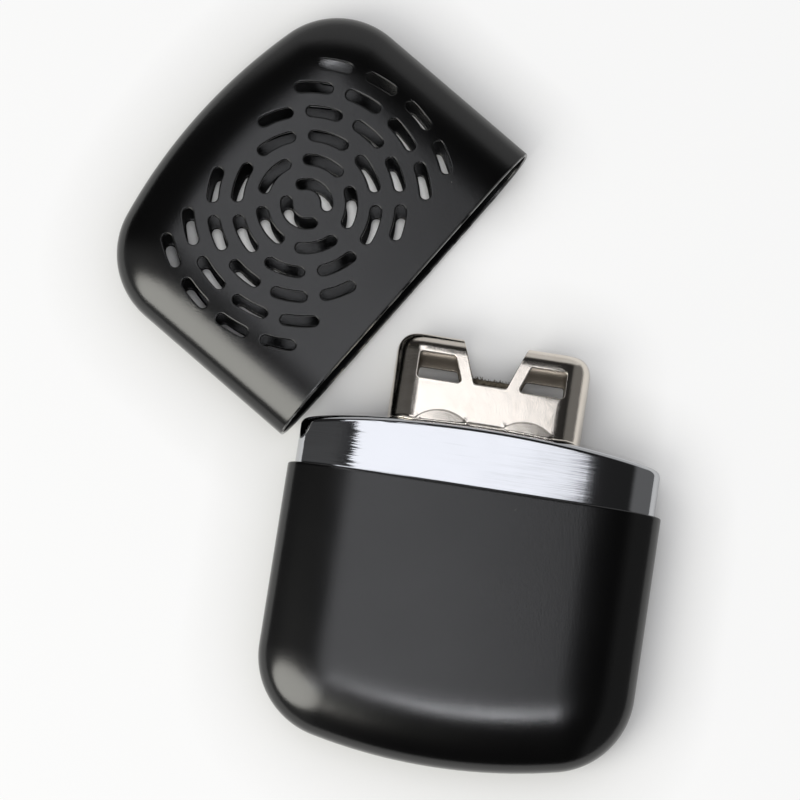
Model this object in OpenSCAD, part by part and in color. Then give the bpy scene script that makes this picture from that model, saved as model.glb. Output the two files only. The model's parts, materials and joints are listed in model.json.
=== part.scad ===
/* [Case] */
// Width of the tank and of the cap, side to side
body_w = 67; // [60:0.5:76]
// Thickness of the tank and of the cap, front to back
body_t = 13.8; // [13.6:0.1:18]
// Height of the black tank shell, from its foot to the seam
tank_h = 49.5; // [42:0.5:60]
// Height of the cap, from its rim to its crown
cap_h = 49.5; // [44:0.5:60]
// Wall of the drawn tank shell
shell_wall = 0.6; // [0.4:0.1:0.8]
// Wall of the drawn cap
cap_wall = 0.6; // [0.4:0.1:0.8]
// How far the rounded sides reach in over the front and back faces
edge_w = 10; // [7:0.5:12]
// Radius of the corners in the front view
corner_r = 14.8; // [13:0.1:18]
// Radius of the gently curved foot and crown in the front view
end_r = 100; // [80:5:200]
// Gap between the cap's rim and the tank shell when the cap is on
rim_gap = 0.3; // [0.2:0.1:0.6]

/* [Collar and neck] */
// Gap between the collar and the inside of the cap
cap_clearance = 0.6; // [0.5:0.05:0.8]
// Wall of the collar
collar_wall = 0.5; // [0.4:0.1:0.7]
// Height of the shoulder's middle above the seam
shoulder_h = 11; // [9:0.25:13]
// How much lower the domed shoulder lies at its ends
shoulder_rise = 2.8; // [1.5:0.1:3.2]
// Radius of the shoulder's edge
shoulder_r = 1.1; // [0.9:0.1:1.3]
// Length of the collar's skirt inside the shell
skirt_h = 5; // [3:0.5:8]
// Solder gap between pieces that are soldered or spot-welded
solder_gap = 0.05; // [0.03:0.01:0.1]
// Wall of the filler neck
neck_wall = 0.5; // [0.4:0.1:0.7]
// Height of the filler neck above the shoulder's middle
neck_h = 4; // [3:0.25:5]
// Depth of the filler neck below the shoulder's middle
neck_root = 4; // [3:0.5:6]

/* [Burner] */
// Width of the burner housing
burner_w = 34.8; // [30:0.2:38]
// Depth of the burner housing, front to back
burner_d = 10.8; // [10:0.1:10.9]
// Height of the burner housing's roof above the shoulder's middle
burner_h = 15.2; // [14:0.1:18]
// Radius of the roof's edges
roof_r = 3.6; // [2:0.2:4.4]
// Wall of the burner housing
burner_wall = 0.4; // [0.3:0.05:0.5]
// Wall of the sleeve inside the housing
sleeve_wall = 0.4; // [0.3:0.05:0.5]
// Running clearance between the sleeve and the filler neck
neck_clearance = 0.08; // [0.05:0.01:0.1]
// Gap between the shoulder and the housing's lower edge
seat_gap = 0.2; // [0.15:0.05:0.5]
// Height of the lip at the housing's lower edge
lip_h = 0.5; // [0.3:0.1:0.8]
// How far the lip stands out
lip_out = 0.3; // [0.1:0.05:0.4]
// Width of the notch at the roof
notch_top_w = 11.7; // [10:0.1:13]
// Width of the notch at its floor
notch_floor_w = 5.8; // [4:0.1:7]
// Depth of the notch below the roof
notch_d = 8; // [7:0.25:9]
// Height of the windows
window_h = 4.8; // [4:0.1:5]
// Distance from the roof to the windows' upper edge
window_drop = 3.4; // [3.2:0.1:4]
// Width of the windows along their upper edge
window_w = 6.4; // [5:0.1:7]
// Strip of metal between the notch and a window
window_strip = 2.2; // [1.8:0.1:2.6]
// Radius of the windows' corners
window_r = 0.6; // [0.3:0.1:1]
// Diameter of the air holes in the housing's ends
air_hole_d = 3; // [2:0.1:4]
// Distance from the roof to the centre of the air holes
air_hole_drop = 9; // [8:0.25:9.5]
// Width of the pressed grip arcs above the lip
grip_w = 11; // [8:0.5:12]
// Height of the pressed grip arcs
grip_h = 2; // [1.5:0.1:2.5]
// How far the grip arcs stand out
grip_out = 0.2; // [0.1:0.05:0.3]

/* [Soft filling and catalyst] */
// Clearance round the cotton and the mat
soft_clearance = 0.3; // [0.2:0.05:0.5]
// Thickness of the wire gauze under the mat
gauze_t = 0.3; // [0.2:0.05:0.4]
// Pitch of the openings in the gauze
gauze_pitch = 2; // [1.6:0.1:2.6]
// Width of the openings in the gauze
gauze_hole = 1.2; // [0.8:0.1:1.4]
// Height of the catalyst mat
mat_h = 3.5; // [3:0.25:4]

/* [Vents] */
// Width of the vent slots
vent_w = 1.9; // [1.4:0.1:2.4]
// Length of a vent slot along its arc, end to end, before it is spread evenly
vent_len = 6.6; // [5:0.2:9]
// Metal between two slots of one ring
vent_gap = 2.5; // [1.8:0.1:4]
// Radius of the innermost ring of slots
vent_first_r = 3.6; // [3:0.1:5]
// Distance between neighbouring rings
vent_pitch = 4.4; // [3.8:0.1:6]
// Plain metal left between the vents and the cap's sides
vent_side = 6.6; // [6:0.5:12]
// Plain metal left between the vents and the cap's rim
vent_rim = 6; // [5:0.5:12]
// Plain metal left between the vents and the cap's crown
vent_crown = 9; // [8:0.5:14]

/* [Pose] */
// Angle by which the cap is turned away from its closed place
cap_turn = 57.7; // [40:0.1:80]
// Distance from the case's side to the point that the cap turns about
pivot_out = 5; // [4:0.2:8]
// Height of that point above the seam
pivot_up = 0.8; // [0.3:0.1:1.2]

/* [Hidden] */

half_w = body_w / 2;
mid_z = body_t / 2;
seam_y = tank_h / 2;
edge_steps = 9;
corner_steps = 12;
end_steps = 10;
dome_steps = 14;
round_steps = 5;
vent_end_steps = 6;
vent_arc_step = 1.5;
cut = 1;
least_r = 0.2;
corner_fn = 32;
round_fn = 64;
grip_fn = 96;
dome_fn = 360;

// Collar and shoulder, measured in from the outside of the case
collar_inset = cap_wall + cap_clearance;
skirt_inset = shell_wall + solder_gap;
collar_half_w = half_w - collar_inset;
shoulder_y = seam_y + shoulder_h;
dome_r = (collar_half_w * collar_half_w + shoulder_rise * shoulder_rise) / (2 * shoulder_rise);

// Burner and neck, from the housing's outside inwards
roof_y = shoulder_y + burner_h;
burner_r = burner_d / 2;
sleeve_inset = burner_wall + solder_gap;
neck_inset = sleeve_inset + sleeve_wall + neck_clearance;
neck_top_y = shoulder_y + neck_h;
neck_root_y = shoulder_y - neck_root;
sleeve_foot_y = shoulder_y + seat_gap;
gauze_y = neck_top_y + soft_clearance;
mat_y = gauze_y + gauze_t;
notch_slope = (notch_top_w - notch_floor_w) / 2 / notch_d;
burner_straight = burner_w - burner_d;
grip_arc_r = (grip_w * grip_w / 4 + grip_h * grip_h) / (2 * grip_h);

// Vent field on the cap, with y measured up from the rim
vent_half_w = half_w - vent_side;
vent_half_h = (cap_h - vent_rim - vent_crown) / 2;
vent_mid_y = vent_rim + vent_half_h;
vent_rings = floor((vent_half_w - vent_w / 2 - vent_first_r) / vent_pitch);

pivot = [-half_w - pivot_out, seam_y + pivot_up, 0];

// Angle at the end arc's centre that half of the end arc covers.
end_half_angle = asin((half_w - corner_r) / (end_r - corner_r));

// Distance from the crown down to the centres of the corner arcs.
corner_down = end_r - (end_r - corner_r) * cos(end_half_angle);

// Point of the front outline on an arc, and the outward direction there: [x, y, nx, ny].
function arc_point(centre, radius, angle) = [
    centre[0] + radius * cos(angle), centre[1] + radius * sin(angle), cos(angle), sin(angle)
];

// Front outline of a shell that opens at y = 0 and ends at y = length, from right to left.
function shell_path(length, overrun) = concat(
    [[half_w, -overrun, 1, 0]],
    [for (i = [0 : corner_steps - 1])
        arc_point([half_w - corner_r, length - corner_down], corner_r,
            (90 - end_half_angle) * i / corner_steps)],
    [for (i = [0 : end_steps])
        arc_point([0, length - end_r], end_r, 90 - end_half_angle + 2 * end_half_angle * i / end_steps)],
    [for (i = [1 : corner_steps])
        arc_point([corner_r - half_w, length - corner_down], corner_r,
            90 + end_half_angle + (90 - end_half_angle) * i / corner_steps)],
    [[-half_w, -overrun, -1, 0]]
);

// Solid of the shell's outer shape, drawn in all round by inset and open end first.
// Each point of the outline carries a half ellipse from the back face to the front face.
module shell_solid(length, inset, overrun = 0) {
    path = shell_path(length, overrun);
    rows = 2 * edge_steps;
    last = len(path) - 1;
    points = [for (p = path) for (j = [0 : rows])
        let (angle = -90 + 180 * j / rows, d = inset + (edge_w - inset) * (1 - cos(angle)))
        [p[0] - d * p[2], p[1] - d * p[3], mid_z + (mid_z - inset) * sin(angle)]];
    function at(i, j) = i * (rows + 1) + j;
    polyhedron(points, concat(
        [for (i = [0 : last - 1]) for (j = [0 : rows - 1])
            [at(i, j), at(i, j + 1), at(i + 1, j + 1), at(i + 1, j)]],
        [[for (i = [last : -1 : 0]) at(i, rows)]],
        [[for (i = [0 : last]) at(i, 0)]],
        [concat([for (j = [rows : -1 : 0]) at(0, j)], [for (j = [0 : rows]) at(last, j)])]
    ), convexity = 4);
}

// Drawn cup with an even wall, its mouth at y = 0 and its end at y = length.
module drawn_cup(length, wall) {
    difference() {
        shell_solid(length, 0);
        shell_solid(length, wall, cut);
    }
}

// One station of the collar's plan at a given inset: [x, half depth].
function plan_at(s, inset) =
    let (last = 2 * edge_steps + dome_steps, left = s <= edge_steps, right = s >= last - edge_steps,
        angle = left ? 90 * s / edge_steps : 90 * (last - s) / edge_steps,
        reach = half_w - edge_w + (edge_w - inset) * cos(angle))
    left ? [-reach, (mid_z - inset) * sin(angle)]
    : right ? [reach, (mid_z - inset) * sin(angle)]
    : [(half_w - edge_w) * (2 * (s - edge_steps) / dome_steps - 1), mid_z - inset];

// Height of the shoulder's dome at x.
function dome_y(x) = shoulder_y - dome_r + sqrt(dome_r * dome_r - x * x);

// Ring of the collar's plan at one inset. Its height is level, or hangs below the dome.
function ring(inset, level, below_dome) =
    let (last = 2 * edge_steps + dome_steps)
    [for (k = [0 : 2 * last - 1])
        let (s = k <= last ? k : 2 * last - k, q = plan_at(s, inset), side = k <= last ? 1 : -1)
        [q[0], below_dome < 0 ? level : dome_y(q[0]) - below_dome, mid_z + side * q[1]]];

// Closed solid through a stack of rings, from the skirt's foot up to the shoulder.
module ring_solid(rings) {
    last = 2 * edge_steps + dome_steps;
    n = 2 * last;
    top = len(rings) - 1;
    function at(r, k) = r * n + k % n;
    polyhedron([for (r = rings) for (p = r) p], concat(
        [for (r = [0 : top - 1]) for (k = [0 : n - 1])
            [at(r, k), at(r + 1, k), at(r + 1, k + 1), at(r, k + 1)]],
        [[for (k = [0 : n - 1]) at(0, k)]],
        [for (s = [0 : last - 1]) s == 0 ? [at(top, 0), at(top, n - 1), at(top, 1)]
            : s == last - 1 ? [at(top, s), at(top, n - s), at(top, last)]
            : [at(top, s), at(top, n - s), at(top, n - s - 1), at(top, s + 1)]]
    ), convexity = 4);
}

// Body of the collar: a skirt inside the shell, a step in at the seam and a round shoulder.
module collar_body(extra, foot_y) {
    radius = max(shoulder_r - extra, least_r);
    step_h = cap_clearance + collar_wall;
    ring_solid(concat(
        [ring(skirt_inset + extra, foot_y, -1)],
        [ring(skirt_inset + extra, seam_y - step_h - extra, -1)],
        [ring(collar_inset + extra, seam_y - extra, -1)],
        [for (k = [0 : round_steps])
            let (angle = 90 * k / round_steps)
            ring(collar_inset + extra + radius * (1 - cos(angle)), 0, extra + radius * (1 - sin(angle)))]
    ));
}

// Flat oblong with round ends in the plan of the burner, drawn in by inset.
module oblong(inset) {
    for (side = [-1, 1])
        translate([side * burner_straight / 2, 0]) circle(r = burner_r - inset, $fn = round_fn);
    square([burner_straight, burner_d - 2 * inset], center = true);
}

// Upright oblong prism between two heights.
module oblong_prism(inset, from_y, to_y) {
    translate([0, to_y, mid_z]) rotate([90, 0, 0]) linear_extrude(to_y - from_y) oblong(inset);
}

// Half of the housing's side view, with its roof edge rounded.
module roof_profile(inset) {
    r = roof_r - inset;
    top = roof_y - inset;
    difference() {
        translate([0, seam_y]) square([burner_r - inset, top - seam_y]);
        translate([burner_r - inset - r, top - r]) difference() {
            square(r + cut);
            circle(r = r, $fn = round_fn);
        }
    }
}

// Solid of the housing's outer shape: a straight middle and two half-round ends.
module housing_solid(inset) {
    translate([0, 0, mid_z]) {
        translate([-burner_straight / 2, 0, 0]) rotate([0, 90, 0]) linear_extrude(burner_straight) {
            roof_profile(inset);
            mirror([1, 0]) roof_profile(inset);
        }
        for (side = [0, 1])
            mirror([side, 0, 0]) translate([burner_straight / 2, 0, 0]) rotate([-90, 0, 0])
                rotate([0, 0, -90]) rotate_extrude(angle = 180, $fn = round_fn) roof_profile(inset);
    }
}

// Everything below a line that lies lift above the shoulder's dome.
module below_dome(lift) {
    translate([0, shoulder_y - dome_r, -cut])
        cylinder(r = dome_r + lift, h = body_t + 2 * cut, $fn = dome_fn);
}

// Window outline beside the notch, with its inner edge parallel to the notch's side.
module window_outline() {
    top = roof_y - window_drop;
    inner_top = notch_top_w / 2 - notch_slope * window_drop + window_strip;
    inner_foot = inner_top - notch_slope * window_h;
    offset(r = window_r, $fn = corner_fn) offset(delta = -window_r)
        polygon([[inner_top, top], [inner_top + window_w, top],
            [inner_top + window_w, top - window_h], [inner_foot, top - window_h]]);
}

// Outline of one slot that follows a ring between two angles, with half-round ends.
function slot_outline(radius, from, to) =
    let (r = vent_w / 2, out = radius + r, in = radius - r,
        steps = max(2, ceil((to - from) * PI / 180 * radius / vent_arc_step)), turn = (to - from) / steps)
    concat(
        [for (i = [1 : steps - 1]) let (a = from + turn * i) out * [cos(a), sin(a)]],
        [for (i = [0 : vent_end_steps]) let (a = to + 180 * i / vent_end_steps)
            radius * [cos(to), sin(to)] + r * [cos(a), sin(a)]],
        [for (i = [1 : steps - 1]) let (a = to - turn * i) in * [cos(a), sin(a)]],
        [for (i = [0 : vent_end_steps]) let (a = from + 180 + 180 * i / vent_end_steps)
            radius * [cos(from), sin(from)] + r * [cos(a), sin(a)]]
    );

// Slots that lie along one ring, evenly spread over an angle on each side of a direction.
module ring_slots(radius, half_angle, direction) {
    full = half_angle >= 180;
    span = 2 * half_angle * PI / 180 * radius;
    count = max(1, floor((span + (full ? 0 : vent_gap)) / (vent_len + vent_gap)));
    step = 2 * half_angle / count;
    slot_angle = step - (vent_gap + vent_w) * 180 / PI / radius;
    for (i = [0 : count - 1]) {
        from = direction - half_angle + step * (i + 0.5) - slot_angle / 2;
        translate([0, 0, -cut]) linear_extrude(body_t + 2 * cut)
            polygon(slot_outline(radius, from, from + slot_angle));
    }
}

// Ripple pattern of the vents: whole rings near the middle and arcs at the two sides.
module vent_slots() {
    reach = vent_half_h - vent_w / 2;
    translate([0, vent_mid_y, 0])
        for (k = [0 : vent_rings]) {
            radius = vent_first_r + k * vent_pitch;
            if (radius <= reach)
                ring_slots(radius, 180, 90);
            else
                for (direction = [0, 180])
                    ring_slots(radius, asin(reach / radius), direction);
        }
}

// Turns a part from the closed cap's place to where the cap lies beside the tank.
module laid_aside() {
    translate(pivot) rotate([0, 0, cap_turn]) translate(-pivot) children();
}

module tank_shell() {
    color([0.16, 0.16, 0.17])
        translate([0, seam_y, 0]) mirror([0, 1, 0]) drawn_cup(tank_h, shell_wall);
}

module tank_collar() {
    color([0.86, 0.87, 0.9]) difference() {
        collar_body(0, seam_y - skirt_h);
        collar_body(collar_wall, seam_y - skirt_h - cut);
        oblong_prism(neck_inset - solder_gap, neck_root_y, shoulder_y + cut);
    }
}

module filler_neck() {
    color([0.8, 0.78, 0.72]) difference() {
        oblong_prism(neck_inset, neck_root_y, neck_top_y);
        oblong_prism(neck_inset + neck_wall, neck_root_y - cut, neck_top_y + cut);
    }
}

module fuel_wadding() {
    inset = collar_inset + collar_wall + soft_clearance;
    color([0.93, 0.92, 0.88]) intersection() {
        translate([0, seam_y, 0]) mirror([0, 1, 0]) shell_solid(tank_h, inset, shoulder_h);
        translate([-half_w, -tank_h, 0]) cube([body_w, tank_h + neck_root_y - soft_clearance, body_t]);
    }
}

module neck_wick() {
    inset = neck_inset + neck_wall + soft_clearance;
    color([0.9, 0.88, 0.8])
        oblong_prism(inset, neck_root_y - soft_clearance, neck_top_y - soft_clearance);
}

module burner_housing() {
    color([0.76, 0.73, 0.68]) difference() {
        union() {
            housing_solid(0);
            intersection() {
                oblong_prism(-lip_out, seam_y, shoulder_y + lip_h + cut);
                below_dome(seat_gap + lip_h);
            }
            for (side = [-1, 1]) intersection() {
                oblong_prism(-grip_out, seam_y, shoulder_y + grip_h + 2 * cut);
                translate([side * burner_w / 4, shoulder_y + grip_h - grip_arc_r, -cut])
                    cylinder(r = grip_arc_r, h = body_t + 2 * cut, $fn = grip_fn);
            }
        }
        housing_solid(burner_wall);
        below_dome(seat_gap);
        linear_extrude(body_t) polygon([
            [-notch_floor_w / 2, roof_y - notch_d], [notch_floor_w / 2, roof_y - notch_d],
            [notch_top_w / 2 + notch_slope * cut, roof_y + cut],
            [-notch_top_w / 2 - notch_slope * cut, roof_y + cut]]);
        for (side = [0, 1]) mirror([side, 0, 0]) linear_extrude(body_t) window_outline();
        translate([-half_w, roof_y - air_hole_drop, mid_z]) rotate([0, 90, 0])
            cylinder(d = air_hole_d, h = body_w, $fn = round_fn);
    }
}

module burner_sleeve() {
    color([0.7, 0.68, 0.64]) difference() {
        oblong_prism(sleeve_inset, sleeve_foot_y, gauze_y);
        oblong_prism(sleeve_inset + sleeve_wall, sleeve_foot_y - cut, gauze_y + cut);
    }
}

module mat_gauze() {
    count_x = floor(burner_straight / 2 / gauze_pitch);
    count_z = floor((burner_r - sleeve_inset - sleeve_wall - gauze_hole) / gauze_pitch);
    color([0.6, 0.6, 0.6]) difference() {
        oblong_prism(sleeve_inset, gauze_y, mat_y);
        for (i = [-count_x : count_x]) for (j = [-count_z : count_z])
            translate([i * gauze_pitch, gauze_y + gauze_t / 2, mid_z + j * gauze_pitch])
                cube([gauze_hole, gauze_t + cut, gauze_hole], center = true);
    }
}

module catalyst_mat() {
    color([0.33, 0.3, 0.27])
        oblong_prism(burner_wall + soft_clearance, mat_y, mat_y + mat_h);
}

module cap_shell() {
    color([0.16, 0.16, 0.17]) laid_aside() translate([0, seam_y + rim_gap, 0]) difference() {
        drawn_cup(cap_h, cap_wall);
        vent_slots();
    }
}

tank_shell();
tank_collar();
filler_neck();
fuel_wadding();
neck_wick();
burner_housing();
burner_sleeve();
mat_gauze();
catalyst_mat();
cap_shell();
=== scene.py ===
import json
import math

import bmesh
import bpy
import numpy as np
from mathutils import Matrix, Quaternion, Vector
from mathutils.geometry import delaunay_2d_cdt


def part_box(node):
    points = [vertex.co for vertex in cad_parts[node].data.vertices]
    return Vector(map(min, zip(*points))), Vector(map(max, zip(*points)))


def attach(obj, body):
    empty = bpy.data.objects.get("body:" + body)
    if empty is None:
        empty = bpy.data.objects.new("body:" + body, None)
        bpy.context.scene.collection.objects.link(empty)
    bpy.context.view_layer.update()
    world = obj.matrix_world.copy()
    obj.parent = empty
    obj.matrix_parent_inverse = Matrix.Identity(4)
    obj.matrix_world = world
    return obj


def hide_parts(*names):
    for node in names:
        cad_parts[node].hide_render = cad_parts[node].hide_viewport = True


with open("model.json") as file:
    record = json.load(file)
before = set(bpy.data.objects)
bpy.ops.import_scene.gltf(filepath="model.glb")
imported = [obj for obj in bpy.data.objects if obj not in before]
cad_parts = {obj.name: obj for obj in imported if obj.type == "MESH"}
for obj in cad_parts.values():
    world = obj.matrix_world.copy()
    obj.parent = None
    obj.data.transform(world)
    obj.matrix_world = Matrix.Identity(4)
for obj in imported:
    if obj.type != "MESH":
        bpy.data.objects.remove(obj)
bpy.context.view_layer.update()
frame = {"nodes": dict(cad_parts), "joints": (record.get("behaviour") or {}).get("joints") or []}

# ---- Tank shell ----
# The lower case is a cup, deep-drawn from thin steel and coated in satin black. Its section is
# a long oval, its foot is gently curved, and its mouth is left as a plain rounded edge.

MM = 0.001
case_low, case_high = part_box("tank_shell")
half_w = case_high.x
mid_z = case_high.z / 2
seam_y = case_high.y
tank_h = case_high.y - case_low.y
corner_r = 14.8 * MM
end_r = 100 * MM
shell_wall = 0.6 * MM
oval_reach = 14.5 * MM
oval_power = 2.5
band_reach = 5 * MM
crisp = 0.3 * MM  # from a bend to the next row of points, so that shading keeps the face flat
net_pitch = 3 * MM
point_gap = 0.25 * MM
slot_edge = 0.2 * MM
slot_margin = 0.15 * MM


def corner_arc(length):
    """Corner arc of a cup that opens at y = 0: the angle that the end arc takes up on each side
    of the cup's axis, and the height of the corner arc's centre."""
    half_angle = math.asin((half_w - corner_r) / (end_r - corner_r))
    return half_angle, length - end_r + (end_r - corner_r) * math.cos(half_angle)


def front_outline(length, mouth):
    """Front outline of a cup that opens at y = 0: up the right side from the mouth, round a
    corner arc, along half of the shallow end arc, and then mirrored down the left side.
    Returns the points and their outward directions."""
    half_angle, corner_y = corner_arc(length)
    side = np.array([mouth, *np.linspace(mouth + crisp, corner_y, 14, endpoint=False)])
    turn = np.linspace(0, math.pi / 2 - half_angle, 26, endpoint=False)
    end = np.linspace(math.pi / 2 - half_angle, math.pi / 2, 16)
    centres = np.concatenate([
        np.stack([np.full_like(side, half_w - corner_r), side], -1),
        np.tile([half_w - corner_r, corner_y], (len(turn), 1)),
        np.tile([0, length - end_r], (len(end), 1)),
    ])
    angles = np.concatenate([np.zeros_like(side), turn, end])
    radii = np.concatenate([np.full(len(side) + len(turn), corner_r), np.full(len(end), end_r)])
    outward = np.stack([np.cos(angles), np.sin(angles)], -1)
    points = centres + radii[:, None] * outward
    mirror = np.array([-1, 1])
    return (np.concatenate([points, points[-2::-1] * mirror]),
            np.concatenate([outward, outward[-2::-1] * mirror]))


def oval(share, inset):
    """Quarter of the case's oval section, a superellipse. share runs from 0 at the middle of
    the side to 1 where the flat face begins. Returns how far in from the case's outline the
    section lies there, and how far above the case's middle."""
    angle = share * math.pi / 2
    across = np.clip(np.cos(angle), 0, 1) ** (2 / oval_power)
    up = np.sin(angle) ** (2 / oval_power)
    return inset + (oval_reach - inset) * (1 - across), (mid_z - inset) * up


def share_at(reach, inset):
    """The oval's share at a given distance in from the case's outline."""
    across = 1 - (reach - inset) / (oval_reach - inset)
    return math.acos(across ** (oval_power / 2)) / (math.pi / 2)


def face_height(points, length, inset):
    """Height of a cup's face above the case's middle at points of its front view. It follows
    the oval section over the distance to the outline: to its side, corner arc or end arc."""
    x = np.abs(points[..., 0])
    y = points[..., 1]
    half_angle, corner_y = corner_arc(length)
    corner_x = half_w - corner_r
    bearing = np.arctan2(y - corner_y, x - corner_x)
    at_corner = (bearing > 0) & (bearing < math.pi / 2 - half_angle)
    to_corner = corner_r - np.hypot(x - corner_x, y - corner_y)
    to_end = end_r - np.hypot(x, y - length + end_r)
    reach = np.where(at_corner, to_corner, np.minimum(half_w - x, to_end))
    across = np.clip(1 - (reach - inset) / (oval_reach - inset), 0, 1)
    return (mid_z - inset) * (1 - across ** oval_power) ** (1 / oval_power)


def grid(points):
    """Sheet from a grid of points: the points in a row, and the corners of its quads."""
    rows, columns = points.shape[:2]
    corner = np.arange(rows * columns).reshape(rows, columns)
    quads = [corner[:-1, :-1], corner[1:, :-1], corner[1:, 1:], corner[:-1, 1:]]
    return points.reshape(-1, 3), np.stack(quads, -1).reshape(-1, 4)


def inside(points, loop):
    """True for each point that a closed loop goes round: an odd number of its edges lie
    straight to the right of the point."""
    start = loop
    end = np.roll(loop, -1, axis=0)
    x = points[:, 0, None]
    y = points[:, 1, None]
    spans = (start[:, 1] > y) != (end[:, 1] > y)
    rise = np.where(end[:, 1] == start[:, 1], 1, end[:, 1] - start[:, 1])
    crossing = start[:, 0] + (y - start[:, 1]) * (end[:, 0] - start[:, 0]) / rise
    return (spans & (x < crossing)).sum(1) % 2 == 1


def fill(outline, holes, between):
    """Triangles from an outline to its holes, through the points between that lie clear of
    them, by a constrained Delaunay triangulation in millimetres. Returns the points, the
    outline's first and then the holes', and the triangles."""
    loops = [outline, *holes]
    edge_points = np.concatenate(loops)
    keep = inside(between, outline)
    for hole in holes:
        keep &= ~inside(between, hole)
    gap = np.full(len(between), np.inf)
    for batch in np.array_split(edge_points, max(1, len(edge_points) // 200)):
        apart = np.linalg.norm(between[:, None] - batch, axis=-1).min(1)
        gap = np.minimum(gap, apart)
    points = np.concatenate([edge_points, between[keep & (gap > point_gap)]])
    edges = []
    start = 0
    for loop in loops:
        corner = start + np.arange(len(loop))
        edges += np.stack([corner, np.roll(corner, -1)], -1).tolist()
        start += len(loop)
    places = [Vector(point) for point in points / MM]
    _, _, faces, origins, _, _ = delaunay_2d_cdt(places, edges, [], 0, 1e-5)
    source = np.array([found[0] for found in origins])
    triangles = source[np.array(faces)]
    middle = points[triangles].mean(1)
    real = inside(middle, outline)
    for hole in holes:
        real &= ~inside(middle, hole)
    return points, triangles[real]


def weld(name, sheets):
    """Object from sheets of points and faces that meet edge to edge. Equal points are merged,
    and the faces of the closed shell are turned outwards."""
    points = []
    faces = []
    count = 0
    for sheet_points, corners in sheets:
        points.append(sheet_points)
        faces += (corners + count).tolist()
        count += len(sheet_points)
    mesh = bpy.data.meshes.new(name)
    mesh.from_pydata(np.concatenate(points).tolist(), [], faces)
    shell = bmesh.new()
    shell.from_mesh(mesh)
    bmesh.ops.remove_doubles(shell, verts=shell.verts, dist=0.001 * MM)
    bmesh.ops.recalc_face_normals(shell, faces=shell.faces)
    for face in shell.faces:
        face.smooth = True
    shell.to_mesh(mesh)
    shell.free()
    piece = bpy.data.objects.new(name, mesh)
    bpy.context.collection.objects.link(piece)
    return piece


def raised(points, height):
    """Points of the front view with their heights, as points in space."""
    return np.concatenate([points, height[..., None]], -1)


def slot_sheets(slot, length, guard):
    """Sheets of one slot's cut edges in both faces of a cup. They start on the outside, guard
    away from the slot, round its edge where the punch drew it in, and go through the wall."""
    turn = np.linspace(0, math.pi / 2, 5)
    offsets = [guard, *(slot_edge * (1 - np.sin(turn))), 0, guard]
    drops = np.array([0, *(slot_edge * (1 - np.cos(turn))), 0, 0])
    insets = [0] * (len(offsets) - 2) + [shell_wall] * 2
    loops = [slot(offset) for offset in offsets]
    rings = np.stack([np.concatenate([loop, loop[:1]]) for loop in loops])
    face = np.stack([face_height(ring, length, inset) for ring, inset in zip(rings, insets)])
    return [grid(raised(rings, mid_z + side * (face - drops[:, None]))) for side in (-1, 1)]


def drawn_cup(length, slots=()):
    """Sheets of a drawn cup with its mouth at y = 0: a band round the sides, the two faces with
    the slots punched through them, and a half-round edge at the mouth. Each slot is a function
    that returns its outline moved outwards by an offset."""
    mouth = shell_wall / 2
    path, outward = front_outline(length, mouth)
    reaches = np.linspace(band_reach, oval_reach, 9)
    flat_x = half_w - oval_reach
    mouth_x = np.concatenate([half_w - reaches, np.linspace(flat_x, -flat_x, 13)[1:-1],
                              (reaches - half_w)[::-1]])
    mouth_line = np.stack([mouth_x, np.full_like(mouth_x, mouth)], -1)
    outline = np.concatenate([path - band_reach * outward, mouth_line[-2:0:-1]])
    rows = [(path - reach * outward)[1:-1] for reach in reaches[1:]] + [mouth_line[1:-1] + (0, crisp)]
    net = np.stack(np.meshgrid(np.arange(-flat_x, flat_x, net_pitch),
                               np.arange(net_pitch, length, net_pitch)), -1)
    guard = slot_edge + slot_margin
    points, triangles = fill(outline, [slot(guard) for slot in slots],
                             np.concatenate([*rows, net.reshape(-1, 2)]))

    sheets = []
    rims = []
    for inset in (0, shell_wall):
        share = np.linspace(-1, 1, 37) * share_at(band_reach, inset)
        reach, height = oval(np.abs(share), inset)
        across = path[:, None] - reach[:, None] * outward[:, None]
        band = raised(across, np.broadcast_to(mid_z + np.sign(share) * height, across.shape[:2]))
        sheets.append(grid(band))
        line_height = face_height(mouth_line, length, inset)[1:-1]
        front_line = raised(mouth_line[1:-1], mid_z + line_height)
        back_line = raised(mouth_line[1:-1], mid_z - line_height)[::-1]
        rims.append(np.concatenate([band[0], front_line, band[-1, ::-1], back_line, band[0, :1]]))
        face = face_height(points, length, inset)
        for side in (-1, 1):
            sheets.append((raised(points, mid_z + side * face), triangles))

    turn = np.linspace(0, math.pi, 9)[:, None, None]
    edge = (rims[0] + rims[1]) / 2 + (rims[0] - rims[1]) / 2 * np.cos(turn)
    edge[..., 1] -= mouth * np.sin(turn[..., 0])
    sheets.append(grid(edge))
    for slot in slots:
        sheets += slot_sheets(slot, length, guard)
    return sheets


def placed(sheets, place):
    """Sheets with every point moved by a function of the points."""
    return [(place(points), corners) for points, corners in sheets]


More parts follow.
